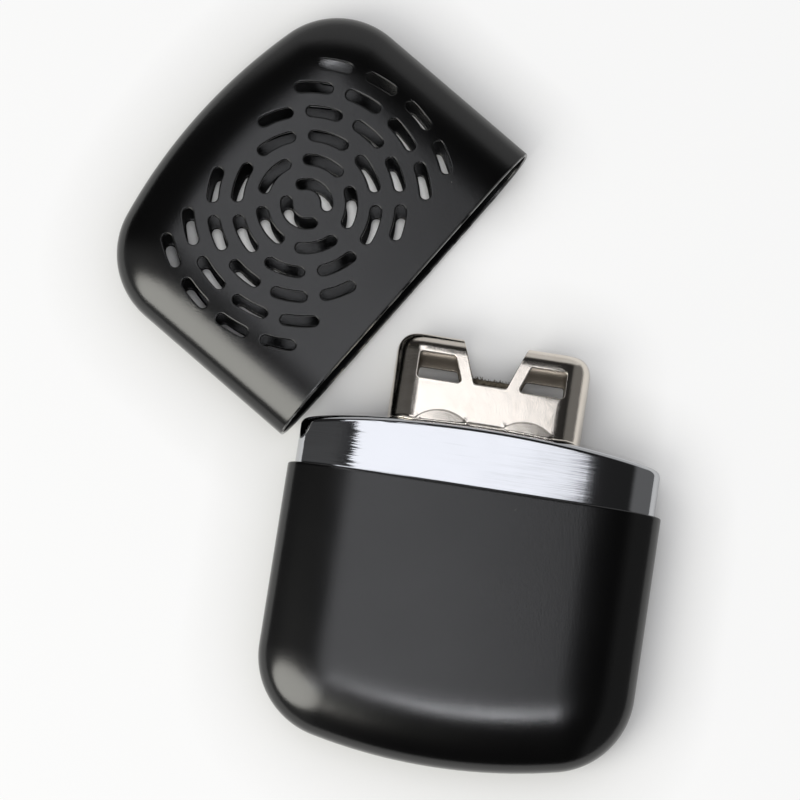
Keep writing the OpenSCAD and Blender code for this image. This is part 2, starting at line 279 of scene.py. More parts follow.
class Value:
    """Output of a node in a material. Arithmetic on values adds Math nodes."""

    def __init__(self, tree, socket=None):
        self.tree = tree
        self.socket = socket

    def node(self, kind, settings, inputs, output=0):
        """One output of a new node. Its settings are set first, and then the values or links
        of its inputs, by name or by number."""
        made = self.tree.nodes.new("ShaderNode" + kind)
        for name, setting in settings.items():
            setattr(made, name, setting)
        for name, value in inputs.items():
            if isinstance(value, Value):
                self.tree.links.new(value.socket, made.inputs[name])
            else:
                made.inputs[name].default_value = value
        return Value(self.tree, made.outputs[output]) if made.outputs else None

    def __add__(self, other):
        return self.node("Math", {"operation": "ADD"}, {0: self, 1: other})

    def __sub__(self, other):
        return self.node("Math", {"operation": "SUBTRACT"}, {0: self, 1: other})

    def __rsub__(self, other):
        return self.node("Math", {"operation": "SUBTRACT"}, {0: other, 1: self})

    def __mul__(self, other):
        return self.node("Math", {"operation": "MULTIPLY"}, {0: self, 1: other})

    __radd__ = __add__
    __rmul__ = __mul__


def noise(place, scale, detail=2):
    """Smooth random pattern from 0 to 1, with about scale lumps in a metre."""
    return place.node("TexNoise", {}, {"Vector": place, "Scale": scale, "Detail": detail})


def step(value, low, high):
    """0 below low, 1 above high, and smooth between them."""
    return value.node("MapRange", {"interpolation_type": "SMOOTHSTEP"}, {0: value, 1: low, 2: high})


def mixed(share, first, second):
    """Colour that goes from the first to the second as share goes from 0 to 1."""
    return share.node("Mix", {"data_type": "RGBA"}, {0: share, 6: first, 7: second}, 2)


def stretched(place, along):
    """Place with its coordinates multiplied, so that a pattern on it is squeezed along them."""
    return place.node("VectorMath", {"operation": "MULTIPLY"}, {0: place, 1: along})


def bumped(height, depth):
    """Normal of a surface that a height from 0 to 1 raises by up to depth."""
    return height.node("Bump", {}, {"Height": height, "Distance": depth, "Strength": 1})


def material(name, surface):
    """Material whose shader is surface(place), for a place in Object coordinates."""
    made = bpy.data.materials.new(name)
    made.use_nodes = True
    made.node_tree.nodes.clear()
    place = Value(made.node_tree).node("TexCoord", {}, {}, "Object")
    place.node("OutputMaterial", {}, {"Surface": surface(place)})
    return made


def dress(piece, made):
    """Puts a material on a piece."""
    if not piece.material_slots:
        piece.data.materials.append(made)
    for place in piece.material_slots:
        place.material = made


black = (0.002, 0.002, 0.0022, 1)
dust_grey = (0.09, 0.09, 0.085, 1)
steel_grey = (0.36, 0.36, 0.36, 1)
paint_grain = 0.24 * MM
dust_cell = 7 * MM
dust_patch = 20 * MM
mark_size = 11 * MM


def black_paint(place, bare=0):
    """Satin black powder paint, with a fine grain, faint marks of handling in its gloss, and
    a few specks of dust. Where bare is 1, it is worn off down to the steel."""
    cells = {"Vector": place, "Scale": 1 / dust_cell}
    speck = step(place.node("TexVoronoi", {}, cells), 0.022, 0.012)
    picked = step(noise(place, 1 / dust_patch), 0.55, 0.6)
    marks = noise(place, 1 / mark_size, 3)
    colour = mixed(speck * picked, black, dust_grey)
    if bare:
        colour = mixed(bare, colour, steel_grey)
    return place.node("BsdfPrincipled", {}, {
        "Base Color": colour,
        "Metallic": bare,
        "Roughness": 0.17 + 0.05 * marks,
        "IOR": 1.6,
        "Normal": bumped(noise(place, 1 / paint_grain, 1), 0.01 * MM),
    })


tank = weld("tank_body", placed(drawn_cup(tank_h), lambda points: points * (1, -1, 1) + (0, seam_y, 0)))
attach(tank, "tank")
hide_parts("tank_shell")
dress(tank, material("black_paint", black_paint))

# ---- Fuel wadding ----
# The tank is packed with cotton wool that soaks up the fuel. It is pushed in by hand before the
# collar is pressed on, so it fills the shell loosely in soft lumps.

cotton_white = (0.8, 0.78, 0.72, 1)
cotton_shade = (0.6, 0.57, 0.5, 1)
wadding_low, wadding_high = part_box("fuel_wadding")
wadding_power = 3.2
wadding_lump = 7 * MM
wadding_tuft = 2 * MM
wadding_fold = 6 * MM
cotton_fibre = 0.15 * MM
cotton_tuft = 1.5 * MM


def lumps(points, size, seed):
    """Smooth random lumps from 0 to 1: random numbers on a cubic lattice of a size, blended
    from corner to corner of its cells by smoothsteps. Each corner picks its number from a
    table by a sum of its own three counts, each times a large number."""
    cell = np.floor(points / size).astype(int)
    share = points / size - cell
    share = share * share * (3 - 2 * share)
    table = np.random.default_rng(seed).random(4099)
    total = 0
    for corner in np.ndindex(2, 2, 2):
        picked = table[(cell + corner) @ np.array([73856, 19349, 83492]) % len(table)]
        total = total + picked * np.prod(np.where(corner, share, 1 - share), -1)
    return total


def power_of(value, power):
    """Power of a number that keeps its sign."""
    return np.sign(value) * np.abs(value) ** power


def wadding_sheet():
    """Closed grid round and over the wadding. Its front outline is a superellipse, and its
    thickness falls to that outline as the case's section does. Lumps and folds dent it."""
    middle = np.array([0, (wadding_low.y + wadding_high.y) / 2, mid_z])
    half = np.array([wadding_high.x, wadding_high.y, wadding_high.z]) - middle
    around, over = np.meshgrid(np.linspace(0, 2 * math.pi, 181),
                               np.linspace(-math.pi / 2, math.pi / 2, 61))
    reach = power_of(np.cos(over), 2 / oval_power)
    unit = np.stack([power_of(np.cos(around), 2 / wadding_power) * reach,
                     power_of(np.sin(around), 2 / wadding_power) * reach,
                     power_of(np.sin(over), 2 / oval_power)], -1)
    points = unit * half
    dent = lumps(points, wadding_lump, 1) * 0.05 + lumps(points, wadding_tuft, 2) * 0.02
    fold = np.abs(lumps(points * (0.4, 1, 1), wadding_fold, 3) - 0.5)
    dent += 0.05 * np.clip(1 - fold / 0.06, 0, 1)
    return grid(middle + points * (1 - dent[..., None]))


def cotton(place):
    """Cotton wool: matt off-white fibres with shaded hollows and a little sheen."""
    fibre = noise(stretched(place, (1, 0.25, 1)), 1 / cotton_fibre, 3)
    tuft = noise(place, 1 / cotton_tuft)
    return place.node("BsdfPrincipled", {}, {
        "Base Color": mixed(step(tuft, 0.3, 0.7), cotton_shade, cotton_white),
        "Roughness": 0.9,
        "Sheen Weight": 0.3,
        "Normal": bumped(fibre + tuft, 0.1 * MM),
    })


cotton_wool = material("cotton", cotton)
wadding = weld("cotton_wadding", [wadding_sheet()])
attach(wadding, "tank")
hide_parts("fuel_wadding")
dress(wadding, cotton_wool)

# ---- Collar ----
# A second drawing of thin steel, bright-plated, is pressed into the shell's mouth. It steps in
# at the seam so that the cap slides over it, and closes the tank with a low domed shoulder.

collar_low, collar_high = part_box("tank_collar")
neck_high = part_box("filler_neck")[1]
collar_wall = 0.5 * MM
skirt_inset = collar_low.z
collar_inset = 1.2 * MM
shoulder_y = collar_high.y
shoulder_rise = 2.8 * MM
shoulder_r = 1.1 * MM
shoulder_side = 0.2 * MM
seam_step = 1.1 * MM
solder_gap = 0.05 * MM
collar_half_w = half_w - collar_inset
dome_r = (collar_half_w ** 2 + shoulder_rise ** 2) / (2 * shoulder_rise)


def dome(x):
    """Height of the shoulder at x: one wide arc from side to side."""
    return shoulder_y - dome_r + np.sqrt(dome_r ** 2 - x ** 2)


def oval_loop(inset):
    """Whole oval section at an inset, round the right side, the front, the left and the back,
    as x and the depth from the case's middle."""
    share = np.linspace(-1, 1, 57)
    reach, height = oval(np.abs(share), inset)
    side = np.stack([half_w - reach, np.sign(share) * height], -1)
    flat = np.linspace(half_w - oval_reach, oval_reach - half_w, 25)[1:-1]
    front = np.stack([flat, np.full_like(flat, mid_z - inset)], -1)
    return np.concatenate([side, front, side[::-1] * (-1, 1), front[::-1] * (1, -1)])


def oblong_loop(half_length, radius, steps=33):
    """Flat oblong with round ends, as x and the depth from its middle."""
    turn = np.linspace(-math.pi / 2, math.pi / 2, steps)
    end = np.stack([half_length - radius + radius * np.cos(turn), radius * np.sin(turn)], -1)
    flat = np.linspace(half_length - radius, radius - half_length, steps)[1:-1]
    front = np.stack([flat, np.full_like(flat, radius)], -1)
    return np.concatenate([end, front, end[::-1] * (-1, 1), front[::-1] * (1, -1)])


def collar_rings(extra):
    """Rings of one face of the collar's wall, drawn in by extra: the skirt's foot, the step at
    the seam, the straight side, and the quarter round that leads over to the shoulder."""
    turn = np.linspace(0, math.pi / 2, 8)
    radius = shoulder_r - extra
    levels = [(skirt_inset + extra, collar_low.y),
              (skirt_inset + extra, seam_y - seam_step - extra),
              (collar_inset + extra, seam_y - extra),
              (collar_inset + extra, seam_y - extra + crisp)]
    drops = [(collar_inset + extra, extra + radius + shoulder_side),
             *zip(collar_inset + extra + radius * (1 - np.cos(turn)), extra + radius * (1 - np.sin(turn)))]
    rings = [(oval_loop(inset), y) for inset, y in levels]
    for inset, drop in drops:
        loop = oval_loop(inset)
        rings.append((loop, dome(loop[:, 0]) - drop))
    return [np.stack([loop[:, 0], y + 0 * loop[:, 0], mid_z + loop[:, 1]], -1) for loop, y in rings]


def collar_sheets():
    """Sheets of the collar: both faces of its wall, joined at the foot, and both faces of the
    shoulder, joined at the slot that the filler neck stands in."""
    outer = collar_rings(0)
    inner = collar_rings(collar_wall)
    rings = np.stack([np.concatenate([ring, ring[:1]]) for ring in inner[::-1] + outer])
    slot = oblong_loop(neck_high.x + solder_gap, neck_high.z - mid_z + solder_gap)
    across = np.arange(-32, 32, 2) * MM
    deep = np.arange(-6, 6, 1.5) * MM
    net = np.stack(np.meshgrid(across, deep), -1).reshape(-1, 2)
    sheets = [grid(rings)]
    walls = []
    for ring, drop in ((outer[-1], 0), (inner[-1], collar_wall)):
        points, triangles = fill(ring[:, [0, 2]] - (0, mid_z), [slot], net)
        surface = np.stack([points[:, 0], dome(points[:, 0]) - drop, mid_z + points[:, 1]], -1)
        sheets.append((surface, triangles))
        wall = np.stack([slot[:, 0], dome(slot[:, 0]) - drop, mid_z + slot[:, 1]], -1)
        walls.append(np.concatenate([wall, wall[:1]]))
    sheets.append(grid(np.stack(walls)))
    return sheets


plate_white = (0.57, 0.578, 0.6, 1)
brush_line = 0.16 * MM
brush_lean = 0.12
brush_fade = 0.09
fade_end = 12 * MM
polish_patch = 6 * MM


def bright_plate(place):
    """Bright chrome plate over steel that was brushed round the collar. Each brushed line
    leans a little to one side, less so to the right, and so reflections end in ragged
    lines."""
    line = noise(stretched(place, (0.012, 1, 0.012)), 1 / brush_line, 2)
    across = place.node("SeparateXYZ", {}, {0: place}, "X")
    width = brush_lean - brush_fade * step(across, -fade_end, fade_end)
    lean = place.node("CombineXYZ", {}, {0: (line - 0.5) * width, 1: (line - 0.5) * 0.02})
    facing = place.node("NewGeometry", {}, {}, "Normal")
    normal = place.node("VectorMath", {"operation": "ADD"}, {0: facing, 1: lean})
    normal = place.node("VectorMath", {"operation": "NORMALIZE"}, {0: normal})
    return place.node("BsdfPrincipled", {}, {
        "Base Color": plate_white,
        "Metallic": 1,
        "Roughness": 0.06 + 0.05 * noise(place, 1 / polish_patch),
        "Normal": normal,
    })


collar = weld("collar", collar_sheets())
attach(collar, "tank")
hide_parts("tank_collar")
dress(collar, material("chrome", bright_plate))

# ---- Filler neck ----
# A short oblong tube of brass stands in the shoulder's slot and is soldered there. It is rolled
# in a little above the shoulder, and the burner's sleeve grips it.

brass_yellow = (0.7, 0.5, 0.22, 1)
brass_brown = (0.42, 0.26, 0.1, 1)
stain_patch = 4 * MM
drawn_line = 0.2 * MM


def brass(place):
    """Plain drawn brass with lines along the neck and brown stains of fuel."""
    stain = step(noise(place, 1 / stain_patch, 4), 0.45, 0.7)
    return place.node("BsdfPrincipled", {}, {
        "Base Color": mixed(stain, brass_yellow, brass_brown),
        "Metallic": 1,
        "Roughness": 0.22 + 0.3 * stain,
        "Normal": bumped(noise(stretched(place, (1, 0.05, 1)), 1 / drawn_line), 0.004 * MM),
    })


dress(frame["nodes"]["filler_neck"], material("brass", brass))

# ---- Neck wick ----
# A plug of the same cotton fills the neck and carries the fuel up to its mouth. It is stuffed in
# from above, and its lumps press against the brass and hold it there.

wick_low, wick_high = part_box("neck_wick")
pad_edge = 0.5 * MM
pad_lump = 1.6 * MM
pad_tuft = 0.5 * MM
wick_dent = 0.5 * MM


def pad_sheet(low, high, steps, dent, seed):
    """Closed grid of a pad that fills a flat oblong box: rings from the middle of its foot out
    to its side, up the side, and in to the middle of its top, with rounded edges. Lumps dent
    it by up to dent."""
    radius = high.z - mid_z
    turn = np.linspace(0, math.pi / 2, 5)
    run = np.linspace(radius, pad_edge, 12)[:-1]
    inset = [*run, *(pad_edge * (1 - np.sin(turn)))]
    level = [*(0 * run), *(pad_edge * (1 - np.cos(turn)))]
    wall = np.linspace(low.y + pad_edge, high.y - pad_edge, 12)[1:-1]
    inset = np.array([*inset, *(0 * wall), *inset[::-1]])
    level = np.array([*(low.y + np.array(level)), *wall, *(high.y - np.array(level[::-1]))])
    loops = [oblong_loop(high.x - gap, radius - gap, steps) for gap in inset]
    points = np.stack([np.insert(np.concatenate([loop, loop[:1]]), 1, y, -1)
                       for loop, y in zip(loops, level)])
    core = np.stack([np.clip(points[..., 0], radius - high.x, high.x - radius),
                     np.full(points.shape[:2], (low.y + high.y) / 2), np.zeros(points.shape[:2])], -1)
    out = points - core
    out /= np.linalg.norm(out, axis=-1)[..., None]
    depth = dent * (0.6 * lumps(points, pad_lump, seed) + 0.4 * lumps(points, pad_tuft, seed + 1))
    return grid(points - depth[..., None] * out + (0, 0, mid_z))


wick = weld("cotton_wick", [pad_sheet(wick_low, wick_high, 33, wick_dent, 4)])
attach(wick, "tank")
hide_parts("neck_wick")
dress(wick, cotton_wool)

# ---- Burner housing ----
# The cover of the burner is pressed from thin nickel-plated steel. Its notch, windows and end
# holes let air in to the catalyst, and it stands on a small lip that is turned outwards.

housing_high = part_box("burner_housing")[1]
lip_out = 0.3 * MM
lip_h = 0.5 * MM
burner_r = housing_high.z - mid_z - lip_out
burner_flat = housing_high.x - lip_out - burner_r
roof_y = housing_high.y
roof_r = 3.6 * MM
bend_y = roof_y - roof_r
bend_top = bend_y + roof_r * math.pi / 2
housing_wall = 0.4 * MM
seat_gap = 0.06 * MM
foot_drop = 0.3 * MM
drop_turn = 0.45  # how far round the end the drop dies out, in radians
press_edge = 0.1 * MM
cut_margin = 0.1 * MM
arch_margin = 0.2 * MM
wall_net_from = 1.4 * MM
wall_net_pitch = 0.8 * MM
notch_top = 11.7 * MM
notch_floor = 5.8 * MM
notch_y = roof_y - 8 * MM
notch_r = 0.5 * MM
notch_slope = (notch_top - notch_floor) / 2 / (roof_y - notch_y)
window_top = roof_y - 3.4 * MM
window_h = 4.8 * MM
window_w = 6.4 * MM
window_strip = 2.2 * MM
window_r = 0.6 * MM
back_window_top = window_top - 1.5 * MM
air_hole_r = 1.5 * MM
air_hole_y = roof_y - 9 * MM
roof_power = 3
end_power = 2.4
grip_x = 7.6 * MM
grip_w = 9.4 * MM
grip_h = 1.9 * MM
grip_edge = 0.25 * MM
grip_out = 0.15 * MM
grip_rim = 0.6  # share of grip_out that a grip rises by at its edge
grip_r = (grip_w ** 2 / 4 + grip_h ** 2) / (2 * grip_h)
sheet_end = burner_flat + burner_r * math.pi / 2
sheet_top = bend_top + burner_r - roof_r


def housing_foot(s):
    """Height of the housing's lower edge: a small gap above the shoulder's dome round its ends,
    and drawn down over the shoulder's rounded edge along its face."""
    turn = np.clip(np.abs(s) - burner_flat, 0, None) / burner_r
    drop = foot_drop * np.clip(1 - (turn / drop_turn) ** 2, 0, 1)
    return dome(np.clip(s, -burner_flat - burner_r, burner_flat + burner_r)) + seat_gap - drop


def inside_grip(s, t):
    """Distance of places on the sheet from the arc over their grip, counted downwards."""
    return grip_r - np.hypot(np.abs(s) - grip_x, t - shoulder_y - grip_h + grip_r)


def housing_point(sheet, depth):
    """Point of the housing's front half from its unrolled sheet, at a depth in its wall. The
    first place on the sheet runs round the burner, flat and then round its end; the second
    runs up the wall, round the roof's edge and back to the middle of the roof. Both bends are
    superellipses, and the roof's edge is tighter along the face than round the ends. The lip
    and the two grips stand out from it; a grip rises at its edge by a smoothstep, and from
    there leans out straight to its foot."""
    s = sheet[..., 0]
    t = sheet[..., 1]
    turn = np.clip(np.abs(s) - burner_flat, 0, None) / burner_r
    bend = np.clip((t - bend_y) / roof_r, 0, math.pi / 2)
    roof = np.clip(t - bend_top, 0, None)
    power = 2 + (roof_power - 2) * np.cos(turn)
    rise = np.sin(bend)
    over = np.clip(1 - rise ** power, 0, 1) ** (1 / power)
    facing = np.stack([over ** (power - 1), rise ** (power - 1)])
    facing /= np.hypot(*facing)
    flare = np.clip(1 - (t - housing_foot(s)) / lip_h, 0, 1) ** 2
    edge = np.clip(inside_grip(s, t) / grip_edge, 0, 1)
    lean = np.clip(inside_grip(s, t) / grip_h, 0, 1)
    grip = grip_rim * edge * edge * (3 - 2 * edge) + (1 - grip_rim) * lean
    relief = np.maximum(lip_out * flare, grip_out * grip)
    reach = burner_r - roof_r * (1 - over) - depth * facing[0] - roof + relief
    reach = reach / (np.sin(turn) ** end_power + np.abs(np.cos(turn)) ** end_power) ** (1 / end_power)
    x = np.sign(s) * (np.minimum(np.abs(s), burner_flat) + reach * np.sin(turn))
    y = np.minimum(t, bend_y) + roof_r * rise - depth * facing[1]
    return np.stack([x, y, mid_z + reach * np.cos(turn)], -1)


def filleted(corners, radius):
    """Outline through corners, drawn anticlockwise, with each corner rounded by an arc."""
    rounds = []
    for before, corner, after in zip(np.roll(corners, 1, 0), corners, np.roll(corners, -1, 0)):
        back = (before - corner) / np.linalg.norm(before - corner)
        on = (after - corner) / np.linalg.norm(after - corner)
        half = math.acos(back @ on) / 2
        centre = corner + radius / math.sin(half) * (back + on) / np.linalg.norm(back + on)
        start = math.atan2(*(corner + radius / math.tan(half) * back - centre)[::-1])
        turn = start + np.linspace(0, math.pi - 2 * half, 8)
        rounds.append(centre + radius * np.stack([np.cos(turn), np.sin(turn)], -1))
    return np.concatenate(rounds)


def beside(curve, offset, closed=True):
    """Curve moved to the right of its own direction by an offset. An open curve's ends move
    straight sideways."""
    along = np.roll(curve, -1, 0) - np.roll(curve, 1, 0)
    if not closed:
        along[0] = (0, -1)
        along[-1] = (0, 1)
    along /= np.linalg.norm(along, axis=1)[:, None]
    return curve + offset * along @ np.array([[0, -1], [1, 0]])


def notch_curve():
    """Outline of the notch on the sheet, down its left side, along its floor and up its right
    side to the middle of the roof. Its sides are straight in the front view."""
    rise = np.concatenate([np.linspace(notch_y, bend_y, 8)[1:],
                           np.linspace(bend_y, bend_top, 14)[1:], [sheet_top]])
    height = housing_point(np.stack([np.zeros_like(rise), rise], -1), 0)[:, 1]
    side = np.stack([notch_floor / 2 + notch_slope * (height - notch_y), rise], -1)
    corner = np.array([notch_floor / 2, notch_y])
    box = np.array([corner * (-1, 1), corner, side[4], side[4] * (-1, 1)])
    rounded = filleted(box, notch_r)
    floor = rounded[:len(rounded) // 2]
    return np.concatenate([side[::-1] * (-1, 1), floor, side])


def window_curve(side, top):
    """Outline of a window up to the height of its top. Its inner edge runs parallel to the
    notch's side."""
    middle = notch_top / 2 - notch_slope * roof_y + window_strip
    outer = middle + notch_slope * window_top + window_w
    floor = window_top - window_h
    corners = np.array([(middle + notch_slope * floor, floor), (outer, floor),
                        (outer, top), (middle + notch_slope * top, top)])
    loop = filleted(corners, window_r)
    return loop if side > 0 else (loop * (-1, 1))[::-1]


def hole_curve(side, offset):
    """Half of an end hole on the sheet, whose other half is on the housing's back."""
    turn = np.linspace(-math.pi / 2, math.pi / 2, 13)
    radius = air_hole_r + offset
    return np.stack([side * (sheet_end - radius * np.cos(turn)), air_hole_y + radius * np.sin(turn)], -1)


def sheet_outline(foot, guard):
    """Outline of the front half's sheet, guard away from its cuts: along the foot, up the right
    end and round its half of the end hole, in along the middle of the roof to the notch, round
    the notch, and back down the left side."""
    hole = hole_curve(1, guard)
    under = np.linspace(foot[-1, 1], hole[0, 1], 8)[1:-1]
    end_t = np.concatenate([under, hole[:, 1], np.linspace(hole[-1, 1], bend_y, 4)[1:-1],
                            np.linspace(bend_y, bend_top, 12), [sheet_top]])
    end_s = np.full_like(end_t, sheet_end)
    end_s[len(under):len(under) + len(hole)] = hole[:, 0]
    end = np.stack([end_s, end_t], -1)
    notch = beside(notch_curve(), guard, closed=False)
    ridge = np.linspace((sheet_end, sheet_top), (notch[-1, 0], sheet_top), 20)[1:-1]
    return np.concatenate([foot, end, ridge, notch[::-1], ridge[::-1] * (-1, 1), end[::-1] * (-1, 1)])


def sheet_net(foot):
    """Points between the sheet's outline and its windows: close rows up the lip, a net over the
    wall and the roof's edge, and close arcs where the grips rise."""
    lip_rows = [foot + (0, lift * MM) for lift in (0.07, 0.15, 0.25, 0.36, 0.5, 0.8)]
    rise = np.concatenate([np.arange(shoulder_y + wall_net_from, bend_y, wall_net_pitch),
                           np.linspace(bend_y, bend_top, 18)])
    net = np.stack(np.meshgrid(foot[:, 0], rise), -1).reshape(-1, 2)
    depth = inside_grip(*net.T)
    net = net[(depth < -arch_margin) | (depth > grip_edge + arch_margin)]
    turn = np.linspace(0, math.pi, 70)
    arch = np.stack([np.cos(turn), np.sin(turn)], -1)
    arches = np.concatenate([
        (side * grip_x, shoulder_y + grip_h - grip_r) + radius * arch
        for side in (-1, 1) for radius in grip_r - grip_edge * np.linspace(-0.15, 1.15, 9)
    ])
    arches = arches[arches[:, 1] > housing_foot(arches[:, 0]) + lip_h]
    return np.concatenate([*lip_rows, net, arches])


def housing_half(top):
    """Sheets of the housing's front half, outside and inside, with the cut edges between them
    and with windows up to a height."""
    guard = press_edge + cut_margin
    s = np.concatenate([np.linspace(-sheet_end, -burner_flat, 17)[:-1],
                        np.linspace(-burner_flat, burner_flat, 27),
                        np.linspace(burner_flat, sheet_end, 17)[1:]])
    foot = np.stack([s, housing_foot(s)], -1)
    windows = [window_curve(side, top) for side in (-1, 1)]
    points, triangles = fill(sheet_outline(foot, guard), [beside(window, guard) for window in windows],
                             sheet_net(foot))

    turn = np.linspace(0, math.pi / 2, 4)
    offsets = [guard, *(press_edge * (1 - np.sin(turn))), 0, guard]
    depths = np.array([0, *(press_edge * (1 - np.cos(turn))), housing_wall, housing_wall])[:, None]
    cuts = [[beside(notch_curve(), offset, closed=False) for offset in offsets]]
    cuts += [[hole_curve(side, offset) for offset in offsets] for side in (-1, 1)]
    for window in windows:
        loops = [beside(window, offset) for offset in offsets]
        cuts.append([np.concatenate([loop, loop[:1]]) for loop in loops])
    half = [grid(housing_point(np.stack(cut), depths)) for cut in cuts]
    half += [(housing_point(points, depth), triangles) for depth in (0, housing_wall)]
    half.append(grid(housing_point(np.stack([foot, foot]), np.array([[0], [housing_wall]]))))
    return half


nickel_white = (0.82, 0.76, 0.685, 1)
nickel_brown = (0.6, 0.5, 0.4, 1)
nickel_burnt_and_shade = (0.27, 0.235, 0.19, 1)
nickel_wave = 3 * MM
nickel_pebble = 0.2 * MM
tarnish_patch = 4 * MM
burnt_and_shade_depth = 1 * MM


def nickel_plate(place):
    """Warm bright nickel plate over a pressed sheet, whose surface is a little wavy, and
    pebbled where it is bent. Faces that look towards the burner's middle plane are painted a
    darker brown, partly as heat staining and partly as painted shade inside the cover."""
    wave = noise(place, 1 / nickel_wave, 1)
    pebble = noise(place, 1 / nickel_pebble, 2)
    tarnish = step(noise(place, 1 / tarnish_patch, 3), 0.5, 0.75) * 0.12
    depth = place.node("SeparateXYZ", {}, {0: place}, "Z") - mid_z
    facing = place.node("SeparateXYZ", {}, {0: place.node("NewGeometry", {}, {}, "Normal")}, "Z")
    # inward faces: a darker brown that is partly heat staining and partly painted shade
    inner = step(depth * facing, -burnt_and_shade_depth, -2 * burnt_and_shade_depth)
    bent = step(facing * facing, 0.98, 0.8)
    return place.node("BsdfPrincipled", {}, {
        "Base Color": mixed(inner, mixed(tarnish, nickel_white, nickel_brown), nickel_burnt_and_shade),
        "Metallic": 1,
        "Roughness": 0.13 + 0.15 * inner,
        "Normal": bumped(wave + pebble * (0.4 + 1.1 * bent), 0.016 * MM),
    })


nickel = material("nickel", nickel_plate)
back_half = placed(housing_half(back_window_top), lambda points: points * (1, 1, -1) + (0, 0, 2 * mid_z))
housing = weld("burner_cover", housing_half(window_top) + back_half)
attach(housing, "burner")
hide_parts("burner_housing")
dress(housing, nickel)

# ---- Burner sleeve and gauze ----
# Inside the cover, a plated band grips the filler neck, and a perforated steel plate on it
# carries the catalyst and lets the fuel's vapour through.

gauze_grey = (0.45, 0.45, 0.44, 1)
gauze_brown = (0.2, 0.15, 0.11, 1)
scorch_patch = 3 * MM
steel_grain = 0.2 * MM


def heated_steel(place):
    """Thin steel plate, browned in patches by the burner's heat."""
    scorch = step(noise(place, 1 / scorch_patch, 4), 0.4, 0.7)
    return place.node("BsdfPrincipled", {}, {
        "Base Color": mixed(scorch, gauze_grey, gauze_brown),
        "Metallic": 1,
        "Roughness": 0.35 + 0.3 * scorch,
        "Normal": bumped(noise(place, 1 / steel_grain), 0.006 * MM),
    })


dress(frame["nodes"]["burner_sleeve"], nickel)
dress(frame["nodes"]["mat_gauze"], material("gauze", heated_steel))

# ---- Catalyst mat ----
# The mat is a pad of glass fibre that carries the platinum. It is laid on the gauze, and its
# upper edge is frayed, with loose fibres that stand up in the notch.

mat_low, mat_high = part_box("catalyst_mat")
mat_brown = (0.08, 0.064, 0.045, 1)
mat_grey = (0.22, 0.19, 0.145, 1)
mat_dent = 0.35 * MM
mat_top = Vector((mat_high.x, mat_high.y + mat_dent, mat_high.z))
mat_sag = 1.7 * MM
sag_from = 4 * MM
sag_over = 2.4 * MM
fibre_count = 900
fibre_r = 0.07 * MM
fibre_root = 0.45 * MM
fibre_lean = 0.35
mat_strand = 0.12 * MM
mat_tuft = 0.8 * MM


def sagged(points):
    """Points of the mat, whose top bulges up between the notch's sides and sinks by a
    smoothstep towards its ends."""
    outer = np.clip((np.abs(points[..., 0]) - sag_from) / sag_over, 0, 1)
    share = np.clip((points[..., 1] - mat_low.y) / (mat_top.y - mat_low.y), 0, 1)
    return points - mat_sag * (outer * outer * (3 - 2 * outer) * share)[..., None] * (0, 1, 0)


def fibre_sheets():
    """Sheets of the loose fibres: tubes of three sides along short arcs that start in the
    mat's top at random places, lean at random, and thin out to their tips."""
    random = np.random.default_rng(7)
    radius = mat_high.z - mid_z
    start = np.stack([
        random.uniform(-1, 1, fibre_count) * (mat_high.x - 1.2 * MM),
        np.full(fibre_count, mat_top.y - fibre_root),
        mid_z + random.uniform(-1, 1, fibre_count) * (radius - 0.5 * MM),
    ], -1)
    length = random.uniform(0.5, 1, fibre_count) * MM
    lean = random.uniform(-fibre_lean, fibre_lean, (fibre_count, 2))
    lean[:, 1] *= 0.6
    bend = random.uniform(-fibre_lean, fibre_lean, fibre_count)
    along = np.linspace(0, 1, 6)[:, None]
    side = np.arange(4) * 2 * math.pi / 3
    thin = fibre_r * np.sqrt(np.clip(1 - (2 * along - 1) ** 6, 0, 1))
    sheets = []
    for i in range(fibre_count):
        path = start[i] + length[i] * np.concatenate(
            [lean[i, 0] * along + bend[i] * along * along, along, lean[i, 1] * along], 1)
        ring = np.stack([np.cos(side), 0 * side, np.sin(side)], -1)
        sheets.append(grid(path[:, None] + thin[..., None] * ring))
    return sheets


def fibre_mat(place):
    """Dark grey-brown glass fibre, lighter at its tufts."""
    fibre = noise(stretched(place, (1, 0.2, 1)), 1 / mat_strand, 3)
    tuft = noise(place, 1 / mat_tuft)
    return place.node("BsdfPrincipled", {}, {
        "Base Color": mixed(step(fibre + tuft, 0.8, 1.3), mat_brown, mat_grey),
        "Roughness": 0.85,
        "Normal": bumped(fibre, 0.08 * MM),
    })


mat_sheets = [pad_sheet(mat_low, mat_top, 81, mat_dent, 8), *fibre_sheets()]
mat = weld("fibre_mat", placed(mat_sheets, sagged))
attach(mat, "burner")
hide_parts("catalyst_mat")
dress(mat, material("fibre_mat", fibre_mat))

# ---- Cap ----
# The cap is drawn like the shell and coated with it. Rings of slots are punched through both of
# its faces from outside, so that each slot's edge is drawn in a little.

cap_h = 49.5 * MM
rim_gap = 0.3 * MM
vent_w = 1.9 * MM
vent_len = 6.6 * MM
vent_gap = 2.5 * MM
vent_first_r = 3.6 * MM
vent_pitch = 4.4 * MM
vent_side = 6.6 * MM
vent_rim = 6 * MM
vent_crown = 9 * MM
vent_half_w = half_w - vent_side
vent_half_h = (cap_h - vent_rim - vent_crown) / 2
vent_mid_y = vent_rim + vent_half_h
rubbed_from = 0.2 * MM
rubbed_to = 0.3 * MM
rubbed_patch = 2.5 * MM
swing = next(joint for joint in frame["joints"] if joint["name"] == "cap_swing")


